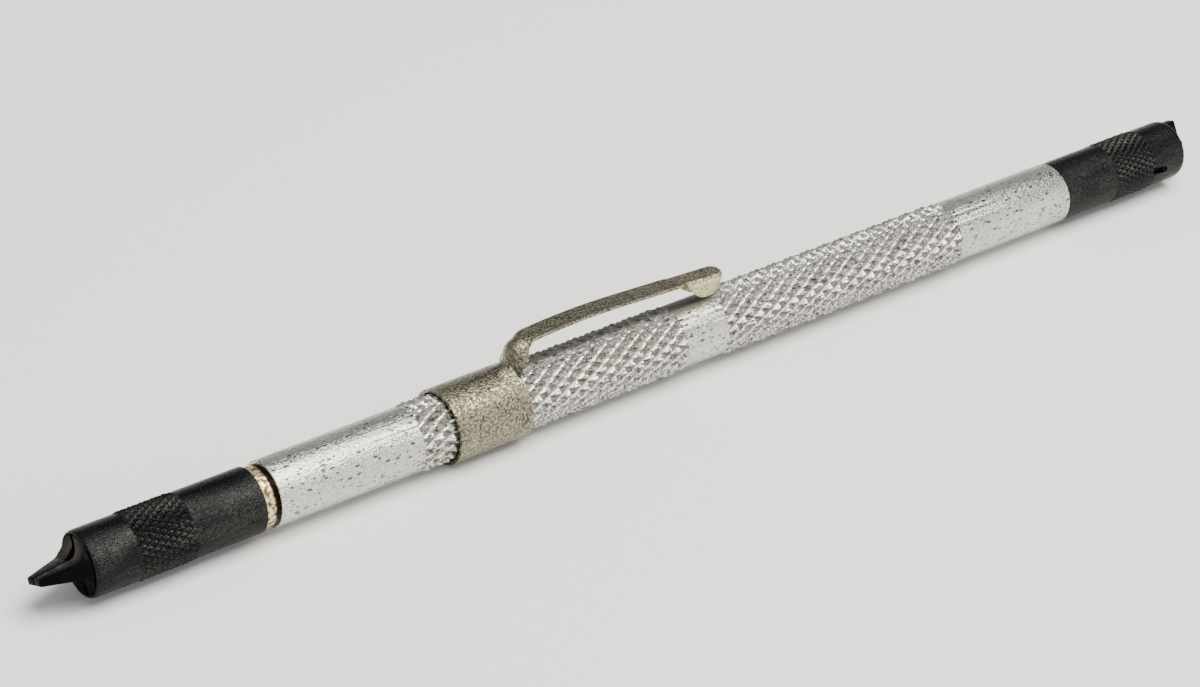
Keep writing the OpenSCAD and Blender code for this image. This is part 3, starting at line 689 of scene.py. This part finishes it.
class SCREWSTARTER_OT_clip(bpy.types.Operator):
    """Builds the rolled and bent pocket clip"""
    bl_idname = "screw_starter.clip"
    bl_label = "Pocket clip"
    bl_options = {"REGISTER", "UNDO"}

    # Shares of the neck's length: where its section is curled the most, where it has lost the
    # collar's shape, and where it starts to stand forward by the setback
    curl_at = 0.45
    free_at = 0.5
    forth_from = 0.35
    # Least half angle of the section's arc, so that a flat section still has a radius
    least_curl = 1e-3
    # Powers of the cosine that a wing rises by and of the rounded box that it ends as
    rise_power = 1.2
    end_power = 2.6
    # How much a wing's rows crowd towards its bend
    crowding = 1.2
    # Radius of the wings' bend and of the rounded rim, as shares of the sheet's thickness
    bend_share = 0.8
    rim_share = 0.3
    # The arm's round end, whose rows stand closer, and the half width that its flat keeps there
    end_len = 1.2 * MM
    least_half = 0.02 * MM
    # Short of a whole, which would bring rows down to a point
    nearly = 0.999

    def middle_line(self, size):
        """The middle of the sheet in side view from where it leaves the collar: (x, z) rows up the
        low bend, then (x, z) rows and headings along the neck and round the high bend."""
        low = np.linspace(0, size.neck_angle, 15)
        high = np.linspace(size.neck_angle, size.arm_rise, 25)[1:]
        rise = size.low_bend_r * np.stack([np.sin(low), 1 - np.cos(low)], -1)
        climb = size.neck_straight * np.array([np.cos(size.neck_angle), np.sin(size.neck_angle)])
        straight = rise[-1] + np.linspace(0, 1, 6)[1:, None] * climb
        over = straight[-1] + size.high_bend_r * np.stack([
            np.sin(size.neck_angle) - np.sin(high), np.cos(high) - np.cos(size.neck_angle)], -1)
        heading = np.concatenate([np.full(len(straight), size.neck_angle), high])
        return rise, np.concatenate([straight, over]), heading

    def neck(self, size, root, path, heading, before):
        """Rows of the neck: its section starts as the collar's edge, curls up forwards into part of a
        tube and flattens again into the arm. A row's section is an arc of half angle curl."""
        main = np.linspace(-1, 1, root.shape[0])
        middle = root[len(main) // 2]
        walked = np.cumsum(np.hypot(*np.diff(np.concatenate([before[None], path]), axis=0).T))
        share = walked / walked[-1]
        up = np.clip(share / self.curl_at, 0, 1)
        down = np.clip((1 - share) / (1 - self.curl_at), 0, 1)
        start = np.arcsin(size.root_w / 2 / size.collar_r)
        curl = start * (1 - up) + size.neck_curl * np.sin(np.pi / 2 * np.minimum(up, down))
        curl = np.maximum(curl, self.least_curl)
        widths = np.array([size.root_w, size.neck_w, size.arm_w])
        half = np.interp(share, [0, self.curl_at, 1], widths / 2)
        bow = (half / np.sin(curl))[:, None]
        turn = curl[:, None] * main
        sag = bow * (1 - np.cos(turn))
        rows = np.stack([sag * np.sin(heading)[:, None], -bow * np.sin(turn),
                         -sag * np.cos(heading)[:, None]], -1)
        mix = (1 - (1 - np.clip(share / self.free_at, 0, 1)) ** 2)[:, None, None]
        forth = np.clip((share - self.forth_from) / (1 - self.forth_from), 0, 1)
        forth = size.neck_back * forth ** 2 * (3 - 2 * forth)
        centre = middle + np.stack([path[:, 0] - before[0] + forth, 0 * share,
                                    path[:, 1] - before[1]], -1)
        return centre[:, None] + (root - middle) * (1 - mix) + rows * mix

    def arm_line(self, size, along):
        """Places and headings on the arm: an arch from its rise to its fall, then straight."""
        bow = size.arch_len / (size.arm_rise + size.arm_fall)
        heading = size.arm_rise - np.minimum(along, size.arch_len) / bow
        past = np.maximum(along - size.arch_len, 0)
        x = bow * (np.sin(size.arm_rise) - np.sin(heading)) + past * np.cos(size.arm_fall)
        z = bow * (np.cos(heading) - np.cos(size.arm_rise)) - past * np.sin(size.arm_fall)
        return x, z, heading

    def wing_bend(self, size):
        """Radius and angle of the tight bend that turns a wing down out of the arm."""
        return size.stock * self.bend_share, np.pi / 2 + size.wing_lean

    def wing_depth(self, size, back, reach):
        """Depth of a wing at a distance back from the arm's end: from its rear it grows as a power of
        a cosine up to its deepest place, and in front of that it closes as a rounded box."""
        gone = np.clip((back - size.wing_back) / (reach - size.wing_back), 0, 1)
        front = np.clip(1 - back / size.wing_back, 0, 1)
        return size.wing_r * np.where(
            back > size.wing_back, np.abs(np.cos(np.pi / 2 * gone)) ** self.rise_power,
            (1 - front ** self.end_power) ** (1 / self.end_power))

    def collar(self, size, main, rise):
        """Rows of the collar along its axis, each an arc of the sheet's middle that ends at the seam.
        The last ones are lifted into the neck's root by the low bend times a bell, a squared cosine
        over the root's width. The places in main make the columns of the root."""
        r = size.collar_r - size.stock / 2
        half_root = size.root_w / 2 / r
        seam = np.arcsin(size.seam_w / 2 / size.collar_r)
        side = np.linspace(half_root, np.pi - seam, 70)[1:]
        turn = np.concatenate([-side[::-1], main * half_root, side])
        bell = np.where(np.abs(turn) < half_root, np.cos(np.pi / 2 * turn / half_root) ** 2, 0)
        leave = COLLAR_START + size.collar_len - size.low_bend_r - size.neck_back
        level = np.linspace(COLLAR_START, leave, 30)[:-1]
        x = np.concatenate([level, np.linspace(leave, COLLAR_START + size.collar_len, len(rise))])
        lift = np.zeros((len(x), 2))
        lift[len(level):] = rise
        lift[len(level):, 0] += leave - x[len(level):]
        return np.stack([
            x[:, None] + lift[:, :1] * bell,
            np.repeat(-r * np.sin(turn)[None], len(x), axis=0),
            AXIS_Z + r * np.cos(turn) + lift[:, 1:] * bell], -1)

    def arm(self, size, main, start):
        """Rows of the arm and of its far and near wings. The arm narrows to its round end, and its
        flat gives way by the sine of a wing's bend where that bends out of it."""
        total = size.arch_len + size.arm_len
        back = np.concatenate([np.linspace(total, size.far_len, 56)[1:],
                               np.linspace(size.far_len, self.end_len, 31)[1:],
                               self.end_len * (1 - np.sin(np.linspace(0, np.pi / 2, 17)[1:]))])
        along = total - back
        half = np.interp(along, [0, total], [size.arm_w / 2, size.arm_end_w / 2])
        corner = np.clip(1 - back / size.corner_r, 0, self.nearly)
        half = half - size.corner_r * (1 - np.sqrt(1 - corner ** 2))
        bend_r, fold = self.wing_bend(size)
        far, near = (
            np.maximum(half - bend_r * np.sin(np.minimum(
                self.wing_depth(size, back, reach) / bend_r, fold)), self.least_half)
            for reach in (size.far_len, size.wing_len))
        flat = np.where(main < 0, far[:, None], near[:, None])
        x, z, heading = self.arm_line(size, along)
        arm = start + np.stack([x[:, None] + 0 * main, -flat * main, z[:, None] + 0 * main], -1)
        return (arm, self.wing(size, back, arm[:, 0], heading, 1, size.far_len),
                self.wing(size, back, arm[:, -1], heading, -1, size.wing_len))

    def wing(self, size, back, edge, heading, sign, reach):
        """Rows of a wing from the arm's edge outwards, round a tight bend and then straight."""
        bend_r, fold = self.wing_bend(size)
        held = back < reach * self.nearly
        share = np.linspace(0, 1, 17)[1:] ** self.crowding
        walked = self.wing_depth(size, back[held], reach)[:, None] * share
        bent = np.minimum(walked / bend_r, fold)
        past = np.maximum(walked - bend_r * fold, 0)
        out = bend_r * np.sin(bent) + past * np.cos(fold)
        down = bend_r * (1 - np.cos(bent)) + past * np.sin(fold)
        tilt = heading[held][:, None]
        hinge = edge[held][:, None]
        return np.concatenate([hinge, hinge + np.stack([
            down * np.sin(tilt), sign * out, -down * np.cos(tilt)], -1)], axis=1)

    def execute(self, context):
        size = settings().clip
        main = np.linspace(-1, 1, 41)
        rise, path, heading = self.middle_line(size)
        collar = self.collar(size, main, rise)
        beside = (collar.shape[1] - len(main)) // 2
        root = collar[-1, beside:beside + len(main)]
        neck = self.neck(size, root, path, heading, rise[-1])
        arm, far_wing, near_wing = self.arm(size, main, neck[-1, len(main) // 2])
        strip = np.concatenate([root[None], neck, arm])
        points, faces = one_sheet(collar, strip, far_wing[:, ::-1], near_wing)
        obj = mesh_object("pocket_clip_formed", points, faces, aged_nickel(settings().finishes))
        merge_doubles(obj, 2 * SAME)
        face_outwards(obj.data)
        wall = obj.modifiers.new("Sheet", "SOLIDIFY")
        wall.thickness = size.stock
        wall.offset = 0
        wall.use_even_offset = False
        round_edges(obj, size.stock * self.rim_share, 3, 50)
        apply_modifiers(obj, 40.0)
        declare(obj, "barrel_body", "pocket_clip")
        return {"FINISHED"}


class SCREWSTARTER_OT_sleeves(bpy.types.Operator):
    """Builds the two black sleeves with their fine knurl and slanted cam slots"""
    bl_idname = "screw_starter.sleeves"
    bl_label = "Sleeves"
    bl_options = {"REGISTER", "UNDO"}

    # Grid cells a tooth, and the share of the knurl's height that wear has left
    steps = 8
    worn_to = 0.9
    # Value of crest on the plain stretches, which lie between the grooves and the crests
    level = 0.5
    # Where a cam slot's cutter starts inside the bore and ends outside the sleeve, as shares of
    # their diameters
    inside_share = 0.38
    outside_share = 0.62
    # Turn of each cam slot from the clip in degrees, at its front end and at its rear end
    slotted_turns = ((135.5, 140.0), (-35.5, -40.0))
    cross_turns = ((92.5, 88.0), (263.5, 268.0))

    def sleeve(self, name, node, body, direction, slots, material):
        """One sleeve, a closed section turned round the axis. direction is the way its front faces,
        and slots holds the turns of its cam slots."""
        size = settings().sleeves
        low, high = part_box(node)
        front = low[0] if direction < 0 else high[0]
        total = high[0] - low[0]
        columns = size.teeth * self.steps
        rows = size.pitches * self.steps + 1
        outer, bore, skirt = size.outer_d / 2, size.bore_d / 2, size.skirt_d / 2
        knurl_end = size.nose_len + size.grip_len
        skirt_end = total - size.skirt_depth
        lip = size.lip

        h = knurl_height(rows, columns, self.steps, self.worn_to)[0] / self.worn_to
        knurl = size.groove_d / 2 + (size.crest_d - size.groove_d) / 2 * h
        knurl[[0, -1]] = outer
        h[[0, -1]] = self.level
        nose = [(size.nose_round * (1 - np.sin(a)), outer - size.nose_drop * (1 - np.cos(a)))
                for a in np.linspace(np.pi / 2, 0, 9)]
        # Counted from the front, round the mouth, back along the outside and home through the bore
        parts = [
            plain_rows(columns, (self.level,), (lip, bore), (0, bore + lip), *nose,
                       (size.nose_len / 2, outer)),
            (size.nose_len + np.linspace(0, size.grip_len, rows), knurl, h),
            plain_rows(columns, (self.level,), ((knurl_end + total) / 2, outer),
                       (total - lip / 2, outer), (total, outer - lip / 2), (total, skirt),
                       (skirt_end, skirt), (skirt_end, bore), (lip, bore)),
        ]
        stations, radii, crest = map(np.concatenate, zip(*parts))
        cuts = np.zeros((len(stations) - 1, columns), bool)
        at = len(parts[0][0])
        cuts[at:at + rows - 1] = knurl_cuts(rows, columns, self.steps)
        points = lathe_points(front - direction * stations, radii)
        faces = lathe_faces(len(stations), columns, cuts)
        if direction > 0:
            faces = faces[:, ::-1]
        obj = mesh_object(name, points, faces, material, TURNED_SHARP, {"crest": crest})
        merge_doubles(obj, SAME)
        for turns in slots:
            cutter = self.slot_cutter(size, front, direction, *np.radians(turns))
            cut = obj.modifiers.new("Slot", "BOOLEAN")
            cut.operation = "DIFFERENCE"
            cut.solver = "EXACT"
            cut.object = cutter
            apply_modifiers(obj, TURNED_SHARP)
            bpy.data.objects.remove(cutter)
        declare(obj, body, node)

    def slot_cutter(self, size, front, direction, turn, turn_back):
        """A closed prism with round ends, standing outwards through the wall where a cam slot is: its
        outline is a half circle at each end of the pin's run, which slants from one turn to the
        other as it goes back from the front."""
        side = (size.outer_d + size.bore_d) / 4 * (turn_back - turn)
        run, lean = np.hypot(size.slot_len, side), np.arctan2(side, size.slot_len)
        arc = np.linspace(-np.pi / 2, np.pi / 2, 13)
        end = size.slot_w / 2 * np.stack([np.cos(arc), np.sin(arc)], -1)
        outline = np.concatenate([end + (run, 0), -end])
        back = outline[:, 0] * np.cos(lean) - outline[:, 1] * np.sin(lean)
        across = outline[:, 0] * np.sin(lean) + outline[:, 1] * np.cos(lean)
        out = np.array([0, -np.sin(turn), np.cos(turn)])
        way = np.array([0, -np.cos(turn), -np.sin(turn)])
        x = front - direction * (size.slot_back + back)
        base = np.stack([x, 0 * x, AXIS_Z + 0 * x], -1) + across[:, None] * way
        rings = np.stack([base + out * size.bore_d * self.inside_share,
                          base + out * size.outer_d * self.outside_share])
        n = len(outline)
        k = np.arange(n)
        walls = np.stack([k, (k + 1) % n, (k + 1) % n + n, k + n], -1)
        mesh = bpy.data.meshes.new("slot_cutter")
        mesh.from_pydata(rings.reshape(-1, 3), [],
                         [*walls.tolist(), k[::-1].tolist(), (k + n).tolist()])
        face_outwards(mesh)
        cutter = bpy.data.objects.new("slot_cutter", mesh)
        bpy.context.scene.collection.objects.link(cutter)
        return cutter

    def execute(self, context):
        material = black_oxide(settings().finishes)
        self.sleeve("slotted_sleeve_knurled", "slotted_sleeve", "slotted_sleeve_body", -1,
                    self.slotted_turns, material)
        self.sleeve("cross_sleeve_knurled", "cross_sleeve", "cross_sleeve_body", 1,
                    self.cross_turns, material)
        return {"FINISHED"}


class SCREWSTARTER_OT_inside(bpy.types.Operator):
    """Finishes the bushes, rings, rods, washers and pins, whose solids stay as they are"""
    bl_idname = "screw_starter.inside"
    bl_label = "Bushes, rods, rings and pins"
    bl_options = {"REGISTER", "UNDO"}

    def execute(self, context):
        finishes = settings().finishes
        brass = rusted_brass(finishes)
        steel = bright_steel(finishes)
        hardened = blued_steel(finishes)
        for name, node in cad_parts.items():
            if "neck_bush" in name:
                paint(node, brass)
            elif "cam_pin" in name:
                paint(node, hardened)
            elif any(word in name for word in ("detent", "rod", "washer")):
                paint(node, steel)
        return {"FINISHED"}


class SCREWSTARTER_OT_tips(bpy.types.Operator):
    """Finishes the four half tips"""
    bl_idname = "screw_starter.tips"
    bl_label = "Half tips"
    bl_options = {"REGISTER", "UNDO"}

    # Width of the small rounds on every edge
    round_w = 0.09 * MM
    # The slotted halves: the blade's length and the place of its body's face, half the gap between
    # the bodies, and how near the face the relief hole leaves its thin edge
    blade_len = 5.5 * MM
    face = float(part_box("slotted_blade_near")[0][0]) + blade_len
    half_split = 0.29 * MM
    edge_w = 0.07 * MM

    def open_slit(self, obj):
        """Leaves room for the twist where the relief hole all but reaches the body's face: the thin
        edge left there is moved out to the body's own side of the split."""
        points = np.empty(3 * len(obj.data.vertices))
        obj.data.vertices.foreach_get("co", points)
        points = points.reshape(-1, 3)
        width = np.array(BLADE_WIDTH)
        across = (points - np.array([0, 0, AXIS_Z])) @ width
        thin = ((np.abs(points[:, 0] - self.face) < self.edge_w)
                & (np.abs(across) < self.half_split))
        out = np.where(thin, np.sign(across) * self.half_split - across, 0)
        points += out[:, None] * width
        obj.data.vertices.foreach_set("co", points.ravel())
        obj.data.update()

    def execute(self, context):
        blued = blued_steel(settings().finishes)
        for name, body in (("slotted_blade_near", "slotted_near_body"),
                           ("slotted_blade_far", "slotted_far_body"),
                           ("cross_tip_lower", "cross_lower_body"),
                           ("cross_tip_upper", "cross_upper_body")):
            obj = bpy.data.objects.new(name + "_ground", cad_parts[name].data.copy())
            bpy.context.scene.collection.objects.link(obj)
            paint(obj, blued)
            merge_doubles(obj)
            if name.startswith("slotted"):
                self.open_slit(obj)
                merge_doubles(obj, SAME)
            round_edges(obj, self.round_w, 2, 38)
            apply_modifiers(obj, 30.0)
            declare(obj, body, name)
        return {"FINISHED"}


class SCREWSTARTER_OT_stage(bpy.types.Operator):
    """Adds the pale floor, the soft studio lights and the camera"""
    bl_idname = "screw_starter.stage"
    bl_label = "Floor, lights and camera"
    bl_options = {"REGISTER", "UNDO"}

    # The photograph's camera, fitted to the barrel's rings at 1200 x 687 pixels
    camera_at = Vector((-219.05, -254.9, 210.6)) * MM
    looks = Vector((0.53764, 0.65964, -0.52518))
    up = Vector((0.29901, 0.43322, 0.85024))
    sensor_w = 36.0
    focal_px = 3278.5
    image_w = 1200
    # Half the side of the floor, in metres, and the strength of the room's even light
    floor_reach = 3.0
    room_light = 0.62

    def placed(self, at, *axes):
        """The matrix of an object at a place, whose own three axes lie along these directions."""
        return Matrix.Translation(at) @ Matrix(axes).transposed().to_4x4()

    def lamp(self, name, direction, distance, size, power, tint="FFFFFF"):
        """A soft light that stands in that direction from the part and faces it, with its first side
        along the bar."""
        light = bpy.data.lights.new(name, "AREA")
        light.shape = "RECTANGLE"
        light.size, light.size_y = size
        light.energy = power
        light.color = linear(tint)[:3]
        obj = bpy.data.objects.new(name, light)
        way = Vector(direction).normalized()
        across = way.cross(Vector(ALONG)).normalized()
        obj.matrix_world = self.placed(way * distance, across.cross(way), across, way)
        bpy.context.scene.collection.objects.link(obj)

    def execute(self, context):
        scene = bpy.context.scene
        reach = self.floor_reach
        corners = np.array([(-reach, -reach, 0), (reach, -reach, 0), (reach, reach, 0),
                            (-reach, reach, 0)])
        floor = mesh_object("pale_floor", corners, np.array([(0, 1, 2, 3)]),
                            pale_floor(settings().finishes))

        world = bpy.data.worlds.new("soft_room")
        scene.world = world
        world.use_nodes = True
        feed(world.node_tree.nodes["Background"],
             {"Color": linear("DDDEE2"), "Strength": self.room_light})

        # The strip overhead is what the bar's bright band mirrors, and the wall lights its near side
        self.lamp("strip_overhead", (0.10, -0.235, 0.727), 0.77, (0.74, 0.57), 12.0, "FFFDF4")
        self.lamp("wall_front", (0.54, -0.81, 0.25), 0.9, (1.4, 0.46), 3.4)

        data = bpy.data.cameras.new("photo_camera")
        data.sensor_fit = "HORIZONTAL"
        data.sensor_width = self.sensor_w
        data.lens = self.focal_px * self.sensor_w / self.image_w
        data.clip_start = 0.01
        data.clip_end = 20
        camera = bpy.data.objects.new("photo_camera", data)
        camera.matrix_world = self.placed(
            self.camera_at, self.looks.cross(self.up), self.up, -self.looks)
        scene.collection.objects.link(camera)
        scene.camera = camera
        return {"FINISHED"}


class SCREWSTARTER_PT_panel(bpy.types.Panel):
    """Lists the pieces of the screw starter and their sizes"""
    bl_label = "Screw starter"
    bl_idname = "SCREWSTARTER_PT_panel"
    bl_space_type = "VIEW_3D"
    bl_region_type = "UI"
    bl_category = "Screw starter"

    def draw(self, context):
        layout = self.layout
        for operator in OPERATORS:
            layout.operator(operator.bl_idname)
        for group in (settings().barrel, settings().clip, settings().sleeves,
                      settings().finishes):
            box = layout.box()
            for name in group.__annotations__:
                box.prop(group, name)


OPERATORS = (SCREWSTARTER_OT_barrel, SCREWSTARTER_OT_clip, SCREWSTARTER_OT_sleeves,
             SCREWSTARTER_OT_inside, SCREWSTARTER_OT_tips, SCREWSTARTER_OT_stage)
CLASSES = (ScrewStarterBarrel, ScrewStarterClip, ScrewStarterSleeves, ScrewStarterFinishes,
           ScrewStarterSettings, *OPERATORS, SCREWSTARTER_PT_panel)


def register():
    """Adds the classes, and the settings to every scene."""
    for cls in CLASSES:
        bpy.utils.register_class(cls)
    bpy.types.Scene.screw_starter = bpy.props.PointerProperty(type=ScrewStarterSettings)


def unregister():
    """Takes the settings and the classes away again."""
    del bpy.types.Scene.screw_starter
    for cls in reversed(CLASSES):
        bpy.utils.unregister_class(cls)


def main():
    """Builds every piece and the stage."""
    register()
    bpy.ops.screw_starter.barrel()
    bpy.ops.screw_starter.clip()
    bpy.ops.screw_starter.sleeves()
    bpy.ops.screw_starter.inside()
    bpy.ops.screw_starter.tips()
    bpy.ops.screw_starter.stage()
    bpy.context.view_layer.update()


if __name__ == "__main__":
    main()
